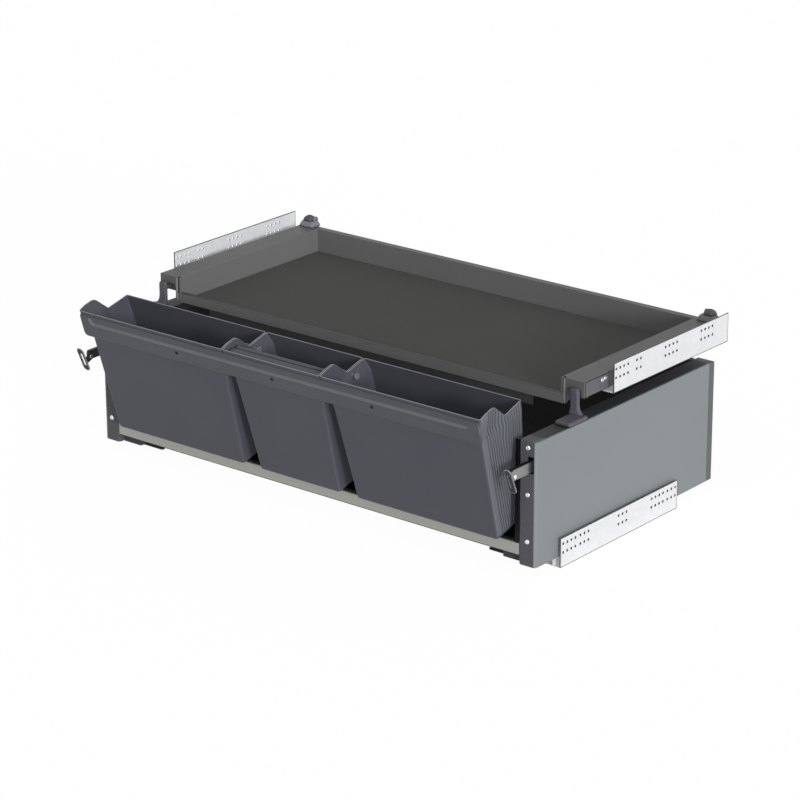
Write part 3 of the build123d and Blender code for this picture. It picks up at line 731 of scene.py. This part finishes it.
def wave_top(depth):
    """Height of the rim at this depth: a hump, a slope and a level part behind a sharp dip."""
    slope = (front_top - back_top) / (dip_depth - hump_depth)
    angle = atan(slope)
    high, low = [radius * tan(angle / 2) for radius in (hump_radius, dip_radius)]
    front = front_top - front_drop * smooth(-depth, -9, rim_out)
    if depth <= hump_depth - high:
        return front
    if depth <= hump_depth + high * cos(angle):
        run = depth - (hump_depth - high)
        return front_top - hump_radius + sqrt(hump_radius ** 2 - run ** 2)
    if depth <= dip_depth - low * cos(angle):
        return front_top - (depth - hump_depth) * slope
    if depth <= dip_depth + low:
        run = dip_depth + low - depth
        return back_top + dip_radius - sqrt(max(dip_radius ** 2 - run ** 2, 0))
    return back_top


def bottom_inset(height, radius):
    """How far a wall draws in at this height over a bottom edge of this radius."""
    height -= bottom_start
    if height >= radius:
        return 0.0
    return radius - sqrt(radius ** 2 - (radius - height) ** 2)


def end_line(x, depth, height):
    """How far the end wall with its rim at x is drawn in, at this depth and height."""
    below = 1 - min(height / shoulder, 1)
    behind = smooth(depth, 30, 60)
    rise = (smooth(height, shoulder - 4, back_top) if abs(x) < outer_rim else
            smooth(height, shoulder - 4 - 50 * behind, flare_top - 29.5 * behind))
    if abs(x) > outer_rim:
        drawn = outer_overhang * (1 - rise) + outer_taper * below
        drawn += (outer_overhang - outer_overhang_behind) * smooth(depth, 5, depth_top) * rise
    else:
        drawn = inner_overhang * (1 - rise) + inner_taper * below
    return drawn


def level_line(x0, x1, height, inset, ribs):
    """One level line of a box from its front right corner round to the left, anticlockwise."""
    over = max(height - inset, bottom_start)
    edge = inset + bottom_inset(over, end_bottom_radius)
    front = -rim_out * smooth(height, shoulder - 5, shoulder + 12) + inset
    front += bottom_inset(over, front_bottom_radius)
    back = depth_bottom + (depth_top - depth_bottom) * min(height / shoulder, 1) - inset
    back -= bottom_inset(over, back_bottom_radius)
    radius = max(corner - inset, 1.2)
    line = []
    for side, x, d, start, run in ((1, x1, front, -90, rib_steps), (1, x1, back, 0, plain_steps),
                                   (-1, x0, back, 90, rib_steps),
                                   (-1, x0, front, 180, plain_steps)):
        centre_d = d - radius if d == back else d + radius
        for i in range(corner_points):
            angle = radians(start + 90 * i / (corner_points - 1))
            depth = centre_d + radius * sin(angle)
            at = x - side * (edge + radius + end_line(x, depth, height))
            line.append([at + radius * cos(angle), depth])
        line.append(run)
    full = []
    count = len(line)
    for i, point in enumerate(line):
        if isinstance(point, list):
            full.append(point)
            continue
        before, after = line[i - 1], line[(i + 1) % count]
        side, x = (1, x1) if i < count / 2 else (-1, x0)
        for k in range(1, point):
            share = k / point
            depth = before[1] + (after[1] - before[1]) * share
            at = before[0] + (after[0] - before[0]) * share
            if point == rib_steps:
                bend = (end_line(x, before[1], height) * (1 - share)
                        + end_line(x, after[1], height) * share - end_line(x, depth, height))
                ridge = ribs * smooth(depth, rib_front, rib_full) * rib_height * rib_profile[k % 4]
                at += side * (bend - ridge * 0.5)
            full.append([at, depth])
    return full


def leaning_box(name, node, x0, x1):
    """A closed shell from level lines: up the outside, over the rim and down the inside."""
    shape = bmesh.new()
    straight = [bottom_start + h for h in (0, 0.25, 0.8, 1.6, 2.6, 4, 6, 9, 17)]
    straight += [45, 85, 125, 160, 172, 175, 177.5, 180, 182.5, 185, 187.5, 190, wave_start]
    top = level_line(x0, x1, flare_top, 0, 0)
    tops = [wave_top(point[1]) for point in top]

    def upper(share, inset, ribs):
        """A line this share of the way up to the rim's wave, each point at its own height."""
        heights = [wave_start + (edge - 1 - wave_start) * share for edge in tops]
        found = {}
        row = []
        for i, height in enumerate(heights):
            key = round(height, 2)
            if key not in found:
                found[key] = level_line(x0, x1, height, inset, ribs)
            row.append((found[key][i][0], found[key][i][1], height))
        return row

    rows = [[(x, d, height) for x, d in
             level_line(x0, x1, height, 0, smooth(height, rib_foot, rib_foot + 10))]
            for height in straight]
    rows += [upper(share, 0, 1) for share in (0.2, 0.4, 0.6, 0.8)] + [upper(1.0, 0, 0.6)]
    lip_start = len(rows) - 1
    for turn in (36, 72, 108, 144, 180):
        offset = (1 - cos(radians(turn))) * wall / 2
        rows.append([(x, d, height + lip_height * sin(radians(turn)))
                     for x, d, height in upper(1.0, offset, 0)])
    lip_stop = len(rows) - 1
    rows += [upper(share, wall, 0) for share in (0.8, 0.6, 0.4, 0.2)]
    for height in reversed([h for h in straight if h > bottom_start + 2 or h == bottom_start]):
        height = max(height, bottom_start + wall)
        rows.append([(x, d, height) for x, d in level_line(x0, x1, height, wall, 0)])
    verts = [[shape.verts.new(point) for point in row] for row in rows]
    right_run = corner_points
    left_run = right_run + rib_steps - 1 + 2 * corner_points + plain_steps - 1
    crests, end_wall = set(), set()
    if x1 > outer_rim:
        crests |= {right_run + 4 * k + step for k in range(rib_count) for step in (0, 1)}
        end_wall |= set(range(right_run - 3, right_run + rib_steps))
    if x0 < -outer_rim:
        crests |= {left_run + 4 * k + step for k in range(rib_count) for step in (2, 3)}
        end_wall |= set(range(left_run, left_run + rib_steps + 4))
    for r in range(len(verts) - 1):
        # Rows over the rolled rim take the rim's paler plastic: a painted highlight along the rim.
        finish = 1 if lip_start <= r < lip_stop else 0
        for i, face in enumerate(skin(shape, verts[r], verts[r + 1], finish)):
            # Rib crests, and the front strip of an outer end wall, take the paler rib plastic:
            # painted highlights.
            paler = i in crests if rows[r][i][1] > crest_front else i in end_wall
            if paler and r < lip_start and rows[r][i][2] > rib_foot:
                face.material_index = 2
    shape.faces.new(verts[0][::-1])
    shape.faces.new(verts[-1])
    fit(make_piece(name, moved(shape, leaning), box_plastic, rim_highlight_paint, rib_highlight_paint), "box_row",
        "box_plastic", node)


# A paler copy of the box plastic for the outer rib crests and the end walls' front strips: a
# painted highlight.
rib_highlight_paint = coat("box_rib_painted_highlight", shade(112, 114, 121), shade(126, 128, 135), 0.42)
box_plastic = coat("box_plastic", shade(84, 85, 94), shade(94, 96, 104), 0.46, grain=0.0007,
                   speckle=0.25, drift=0.12)
# A paler copy of the box plastic for the rolled rim: a painted highlight.
rim_highlight_paint = coat("box_rim_painted_highlight", shade(148, 148, 153), shade(164, 164, 169), 0.4)
row_half = 389.5
middle_half = 95.0
rim_gap = 0.6
for name, x0, x1 in (("left", -row_half, -middle_half - rim_gap),
                     ("middle", -middle_half + rim_gap, middle_half - rim_gap),
                     ("right", middle_half + rim_gap, row_half)):
    leaning_box(f"{name}_tub", f"box_{name}", x0, x1)


# Liner of the middle box. A moulded insert hangs behind the front rim: a finely ribbed shelf,
# a step down to a narrow ledge, and an apron that stands in the box.

liner_half = 88.0
liner_sheet = 1.4
shelf_ribs = 59
shelf_rib_height = 0.5
shelf_level = 217.0
liner_line = [(-3.2, shelf_level, 0), (12.0, shelf_level, 0), (13.0, 216.0, -1),
              (13.2, 203.0, -1), (17.2, 203.0, 1), (17.4, 214.6, 1), (18.2, 215.4, 0),
              (23.0, 215.4, 0), (23.8, 214.6, -1), (24.2, 150.0, -1)]
liner = bmesh.new()
columns = []
for i in range(shelf_ribs * 2 + 1):
    x = -liner_half + liner_half * i / shelf_ribs
    lift = shelf_rib_height * (i % 2)
    upper_line = [liner.verts.new((x, d, h + (lift if h == shelf_level else 0)))
                  for d, h, _ in liner_line]
    lower_line = [liner.verts.new((x, d + liner_sheet * back, h - liner_sheet))
                  for d, h, back in liner_line]
    columns.append(upper_line + lower_line[::-1])
for first, second in zip(columns, columns[1:]):
    skin(liner, first, second)
liner.faces.new(columns[0][::-1])
liner.faces.new(columns[-1])
liner_plastic = coat("liner_plastic", shade(96, 97, 103), shade(108, 109, 115), 0.5)
fit(make_piece("middle_box_liner", moved(liner, leaning), liner_plastic), "box_row",
    "box_plastic")


# Front band. One long moulding hooks the three boxes together along their rims. A wide shallow
# recess runs along it over a rounded step, and three dark screws sit in the strip below.

band_half = 387.0
band_low = 180.0
band_high = 218.0
band_corner = 8.0
recess_half = 369.0
recess_low = 203.5
recess_high = 216.0
recess_corner = 10.0
recess_floor = 0.4
strip_stand = 2.9
band_edge = 1.2


def band_front(x, height):
    """How far the band's front stands off the rims at this point."""
    across = max(abs(x) - (recess_half - recess_corner), 0)
    below = max(recess_low + recess_corner - height, 0) if across > 0 else 0
    edge = recess_low - height
    if across > 0:
        edge = max(hypot(across, below) - recess_corner, recess_low - height)
    edge = max(edge, (height - recess_high) * 2)
    stand = recess_floor + (strip_stand - recess_floor) * smooth(edge, -3.2, 1.6)
    stand -= 0.9 * smooth(height, recess_high - 1, recess_high + 1)
    stand -= 0.5 * smooth(-height, -recess_low + 6, -band_low - 4)
    return stand


def band_bottom_at(x):
    """Lower edge of the band, round at its two ends."""
    out = max(abs(x) - (band_half - band_corner), 0)
    return band_low + band_corner - sqrt(max(band_corner ** 2 - out ** 2, 0))


def front_band():
    """The band's two faces in columns across the row, closest together at its round ends."""
    ends = [0.7 * i for i in range(46)]
    xs = [-band_half + e for e in ends] + [-340 + 20 * i for i in range(35)]
    xs = sorted({round(x, 3) for x in xs + [band_half - e for e in ends]})
    steps = 56
    shape = bmesh.new()
    columns = []
    for x in xs:
        low = band_bottom_at(x)
        front, back = [], []
        for i in range(steps + 1):
            height = low + (band_high - low) * i / steps
            rim = min(height - low, band_high - height, band_half - abs(x))
            stand = band_front(x, height)
            stand = max(stand - band_edge * (1 - smooth(rim, 0, band_edge)) ** 2, 0.1)
            front.append(shape.verts.new((x, -rim_out - stand, height)))
            back.append(shape.verts.new((x, -rim_out + 0.05, height)))
        columns.append(front + back[::-1])
    for first, second in zip(columns, columns[1:]):
        # Faces of the rounded step below the recess take a paler plastic: a painted highlight on
        # the step.
        for face in skin(shape, first, second):
            corners = [vert.co for vert in face.verts]
            lean_back = max(c.y for c in corners) - min(c.y for c in corners)
            middle = sum(corners, Vector()) / 4
            if lean_back > 0.2 and recess_low - 5 < middle.z < recess_high - 2:
                face.material_index = 1
    for column in (columns[0], columns[-1]):
        for i in range(steps):
            shape.faces.new((column[i], column[i + 1], column[-2 - i], column[-1 - i]))
    return moved(shape, leaning)


band_plastic = coat("band_plastic", shade(88, 89, 94), shade(99, 100, 104), 0.42, grain=0.0007,
                    speckle=0.25)
step_highlight_paint = coat("band_step_painted_highlight", shade(112, 113, 116), shade(124, 125, 128), 0.36)
fit(make_piece("front_band_moulding", front_band(), band_plastic, step_highlight_paint), "box_row",
    "box_plastic", "front_band")

screw_black = coat("screw_black", shade(26, 26, 28), shade(40, 40, 43), 0.4)
band_screw_height = 195.6
band_screw_places = []
for x in (-190, 0, 190):
    face = -rim_out - band_front(x, band_screw_height)
    band_screw_places.append(leaning @ posed((x, face, band_screw_height), 90, "X"))
band_screws = placed(screw(3.0, 0.9, 8.5, 1.85, 0.7), band_screw_places)
fit(make_piece("band_pan_screws", band_screws, screw_black), "box_row", "dark_plastic",
    "band_screws")


# Joining pegs. A moulded peg with a flanged knob ties each side box to the middle one, through
# both end walls just below the rim.

peg_plastic = coat("peg_plastic", shade(122, 120, 132), shade(140, 138, 150), 0.35)
peg_shift = leaning.to_3x3() @ Vector((0, -9, 12))
peg_places = []
for low, high in islands("joining_pegs"):
    middle = (low + high) / 2 + peg_shift
    peg_places.append(posed(middle, 90, "Y"))
    peg_half = (high.x - low.x) / 2
knob = [(0.0015, 0.0), (0.0022, 0.0028), (0.0032, 0.0034), (0.0046, 0.0032), (0.0052, 0.0024),
        (0.0052, -0.0004), (0.0039, -0.0004)]
far = [(r, peg_half + z) for r, z in reversed(knob)]
near = [(r, -peg_half - z) for r, z in knob]
peg = turned([(0, -peg_half + 0.001)] + near + far + [(0, peg_half - 0.001)])
fit(make_piece("box_joining_pegs", placed(peg, peg_places), peg_plastic), "box_row",
    "box_plastic", "joining_pegs")


# Coupling posts. Moulded posts with a flared foot stand on the drawer's sides, and their tongues
# reach into the tray's brackets so that the drawer takes the tray along.

def lofted(rings, steps=5):
    """A closed solid through level rounded rectangles: (height, x0, x1, y0, y1, radius)."""
    shape = bmesh.new()
    levels = []
    for height, x0, x1, y0, y1, radius in rings:
        level = []
        for x, y, start in ((x1 - radius, y0 + radius, -90), (x1 - radius, y1 - radius, 0),
                            (x0 + radius, y1 - radius, 90), (x0 + radius, y0 + radius, 180)):
            for i in range(steps + 1):
                angle = radians(start + 90 * i / steps)
                level.append(shape.verts.new((x + radius * cos(angle), y + radius * sin(angle),
                                              height)))
        levels.append(level)
    for low, high in zip(levels, levels[1:]):
        skin(shape, low, high)
    shape.faces.new(levels[0][::-1])
    shape.faces.new(levels[-1])
    return shape


def moulded(rings, outwards):
    """A lofted solid in metres from millimetre rings off the drawer's middle line."""
    return moved(lofted(rings), Matrix.Diagonal((0.001 * outwards, 0.001, 0.001, 1)))


coupling_plastic = coat("coupling_plastic", shade(94, 92, 100), shade(108, 106, 114), 0.42)
for side, outwards in both_sides:
    node = f"coupling_post_{side}"
    low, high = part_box(node)
    x0, x1 = sorted(abs(x) * 1000 for x in (low.x, high.x))
    y0, base, top = low.y * 1000, low.z * 1000, high.z * 1000
    foot = [(base + h, x0 + 3.5 + i, x1 - i, y0 + i, y0 + 45.5 - i, 2.5)
            for h, i in ((0, 0), (4.6, 0), (6.2, 0.8), (6.9, 2.2))]
    stem_in, stem_out, stem_front, stem_back = x1 - 28.5, x1 - 14, y0 + 38.3, y0 + 45.4
    stem = [(base + h, stem_in + a, stem_out + b, stem_front - c, stem_back, r) for h, a, b, c, r in
            ((6.5, 0, 7, 3, 1.6), (8, 0, 5.2, 2, 2), (10, 0, 3.4, 1.2, 2.4), (13, 0, 1.6, 0.6, 2.8),
             (17, 0, 0.5, 0.2, 3), (22, 0, 0, 0, 3), (34, 0, 0, 0, 3))]
    rise = top + 3.5 - base
    stem += [(base + rise - 5 + 5 * sin(a), stem_in + 5.5 * c, stem_out - 5.5 * c,
              stem_front + 1.2 * c, stem_back, 3 - 2.4 * c)
             for a, c in [(a, 1 - cos(a)) for a in map(radians, (0, 20, 40, 60, 80))]]
    tongue = [(base + 31.5, stem_in + 1.5, stem_out - 3.4, y0 + 45, y0 + 56, 1.0),
              (base + 36, stem_in + 1.5, stem_out - 3.4, y0 + 45, y0 + 56, 1.0)]
    shape = join([moulded(rings, outwards) for rings in (foot, stem, tongue)])
    fit(make_piece(f"{side}_coupling", shape, coupling_plastic), "drawer", "grey_plastic", node)


# Tray. A shallow tray of folded sheet, sprayed dark grey: floor, front lip, back wall and two
# sides with a broad band on top that covers the slides.

tray_coat = coat("tray_coat", shade(114, 114, 115), shade(125, 125, 126), 0.45, grain=0.0006,
                 speckle=0.25)
fold_edge = 0.0003
for node in ("tray_floor", "tray_back", "tray_side_left", "tray_side_right"):
    rounded("sheet_" + node, node, "tray", "tray_steel", tray_coat, width=fold_edge)
lip_top_shade_paint = coat("tray_lip_top_painted_shade", shade(80, 80, 80), shade(90, 90, 90), 0.6)
edge_highlight_paint = coat("tray_edge_painted_highlight", shade(150, 150, 151), shade(166, 166, 167), 0.45)
hem_shade_paint = coat("tray_hem_painted_shade", shade(70, 70, 71), shade(80, 80, 81), 0.5)
lip_low, lip_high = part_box("tray_lip")
side_low, side_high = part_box("tray_side_right")
sheet = 0.0012
edge_near = 0.0046
edge_far = 0.0074
hem_half = 0.318
hem_drop = 0.018
lip = from_node("tray_lip")
round_edges(lip, fold_edge)
# The lip's upward faces take a darker coat: painted shade on the lip's top.
for face in lip.faces:
    face.material_index = 1 if face.normal.z > 0.3 else 0
fit(make_piece("sheet_tray_lip", lip, tray_coat, lip_top_shade_paint), "tray", "tray_steel", "tray_lip")
for side, outwards in both_sides:
    wall_x = outwards * side_low.x
    front_wall = rectangle(wall_x, wall_x + outwards * sheet, lip_low.y + 0.0006, lip_high.y)
    fit(upright(f"{side}_tray_front_wall", front_wall, lip_low.z, side_high.z - 0.0004, fold_edge,
                tray_coat), "tray", "tray_steel")
    # A thin strip at the lip's front corner in a paler copy of the tray's coat: a painted highlight
    # on the fold.
    edge = rectangle(wall_x + outwards * edge_near, wall_x + outwards * edge_far,
                     lip_low.y - 0.0004, lip_low.y + 0.001)
    fit(upright(f"{side}_tray_folded_edge", edge, lip_low.z + 0.0035, side_high.z - 0.0014,
                fold_edge, edge_highlight_paint), "tray", "tray_steel")
# A hem hanging below the lip's back edge, of the tray's own sheet but coloured darker: painted
# shade under the lip.
fit(upright("tray_front_hem", rectangle(-hem_half, hem_half, lip_high.y, lip_high.y + sheet),
            lip_low.z - hem_drop, lip_low.z + 0.001, fold_edge, hem_shade_paint), "tray", "tray_steel")


# Tray mat. A non-slip rubber mat lies loose on the tray's floor. Its face is closely pebbled and
# has no shine, so that pots don't slide on it.

mat_rubber = coat("mat_rubber", shade(95, 95, 94), shade(106, 106, 105), 0.85, grain=0.0014,
                  speckle=0.5, depth=0.00012, specular=0.1)
rounded("rubber_mat", "tray_mat", "tray", "mat_rubber", mat_rubber, width=0.0005)


# Corner brackets. Moulded corners with an arched notch join the tray's front lip to its sides.
# A side plate is set on each outer face, held by two bright screws.

bracket_plastic = coat("bracket_plastic", shade(104, 104, 104), shade(114, 114, 115), 0.42)
side_plate_plastic = coat("side_plate_plastic", shade(104, 104, 107), shade(114, 114, 117), 0.42)
side_plate_stand = 0.0009
side_plate_front = 0.0035
side_plate_back = 0.061
side_plate_low = 0.0235
side_plate_high = 0.0016
seam_shade_width = 0.0009
web_length = 0.030
web_sheet = 0.0016
for side, outwards in both_sides:
    node = f"corner_bracket_{side}"
    rounded(f"{side}_corner_bracket", node, "tray", "dark_plastic", bracket_plastic,
            width=0.0008, segments=3)
    low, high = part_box(node)
    face = high.x if outwards > 0 else low.x
    # A near-black sheet under each side plate, a little larger, shows round it as painted shade in
    # the seam.
    for name, out, margin, edge, finish in (
            ("side_plate_seam_shade", 0.0002, seam_shade_width, 0.0001, trim_plastic_and_painted_shade),
            ("side_plate", side_plate_stand, 0.0, 0.0004, side_plate_plastic)):
        line = rectangle(face - outwards * 0.001, face + outwards * out,
                         low.y + side_plate_front - margin, low.y + side_plate_back + margin)
        fit(upright(f"{side}_{name}", line, high.z - side_plate_low - margin,
                    high.z - side_plate_high + margin, edge, finish), "tray", "dark_plastic")
    near = min(abs(low.x), abs(high.x)) + 0.001
    web_front = low.y + 0.0124
    web = rectangle(outwards * near, outwards * (near + web_length), web_front,
                    web_front + web_sheet)
    fit(upright(f"{side}_bracket_web", web, high.z - 0.0285, high.z - 0.003, 0.0003,
                bracket_plastic), "tray", "dark_plastic")
bracket_screw_places = []
for low, high in islands("bracket_screws"):
    middle = (low + high) / 2
    outwards = 1 if middle.x > 0 else -1
    face = (high.x if outwards > 0 else low.x) + (side_plate_stand - 0.001) * outwards
    bracket_screw_places.append(posed((face, middle.y, middle.z), 90 * outwards, "Y"))
screws = placed(screw(0.0034, 0.0011, 0.0044, 0.0015, 0.0007), bracket_screw_places)
fit(make_piece("bracket_face_screws", screws, screw_nickel), "tray", "zinc_steel",
    "bracket_screws")


# Rear clips. Stepped plastic mouldings pushed on the tray's rear corners, each with a small
# grooved catch roller beside it.

rear_clip_plastic = coat("rear_clip_plastic", shade(88, 88, 91), shade(104, 104, 108), 0.45)
clip_base_plastic = coat("clip_base_plastic", shade(132, 132, 136), shade(148, 148, 152), 0.45)
for side, outwards in both_sides:
    node = f"rear_clip_{side}"
    low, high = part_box(node)
    x0, back, base = min(abs(low.x), abs(high.x)) * 1000, high.y * 1000, low.z * 1000
    skirt = [(base + h, x0 + 8 + i, x0 + 37 - i, back - 27 + i * 1.5, back - 3.5 - i, 3.0)
             for h, i in ((0, 0), (3, 0.4), (6.5, 1.8), (8.4, 2.8), (9.2, 4))]
    hump = [(base + h, x0 + 16 + i, x0 + 33 - i, back - 22 + i * 1.4, back - 5 - i, 3.0)
            for h, i in ((8, 0), (12, 0.6), (14.6, 1.8), (16.2, 3.4), (17.2, 5.4))]
    fit(make_piece(f"{side}_rear_clip", moulded(hump, outwards), rear_clip_plastic), "tray",
        "dark_plastic", node)
    fit(make_piece(f"{side}_rear_clip_skirt", moulded(skirt, outwards), clip_base_plastic),
        "tray", "dark_plastic")
roller_out = 0.008
roller_bore = 0.0021
roller_edge = 0.0006
roller_groove = 0.0004
roller_places = []
for low, high in islands("catch_rollers"):
    middle = (low + high) / 2
    middle += Vector((copysign(roller_out, middle.x), -0.004, -0.002))
    roller_places.append(posed(middle, 90, "Y"))
    roller_half = (high.x - low.x) / 2
    roller_radius = (high.z - low.z) / 2
half_line = [(roller_bore, roller_half), (roller_radius - roller_edge, roller_half),
             (roller_radius, roller_half - roller_edge), (roller_radius, roller_edge)]
roller_line = [(radius, -place) for radius, place in half_line]
roller_line += [(roller_radius - roller_groove, 0)] + half_line[::-1]
roller = turned(roller_line + roller_line[:1])
fit(make_piece("rear_catch_rollers", placed(roller, roller_places), clip_base_plastic), "tray",
    "nylon", "catch_rollers")
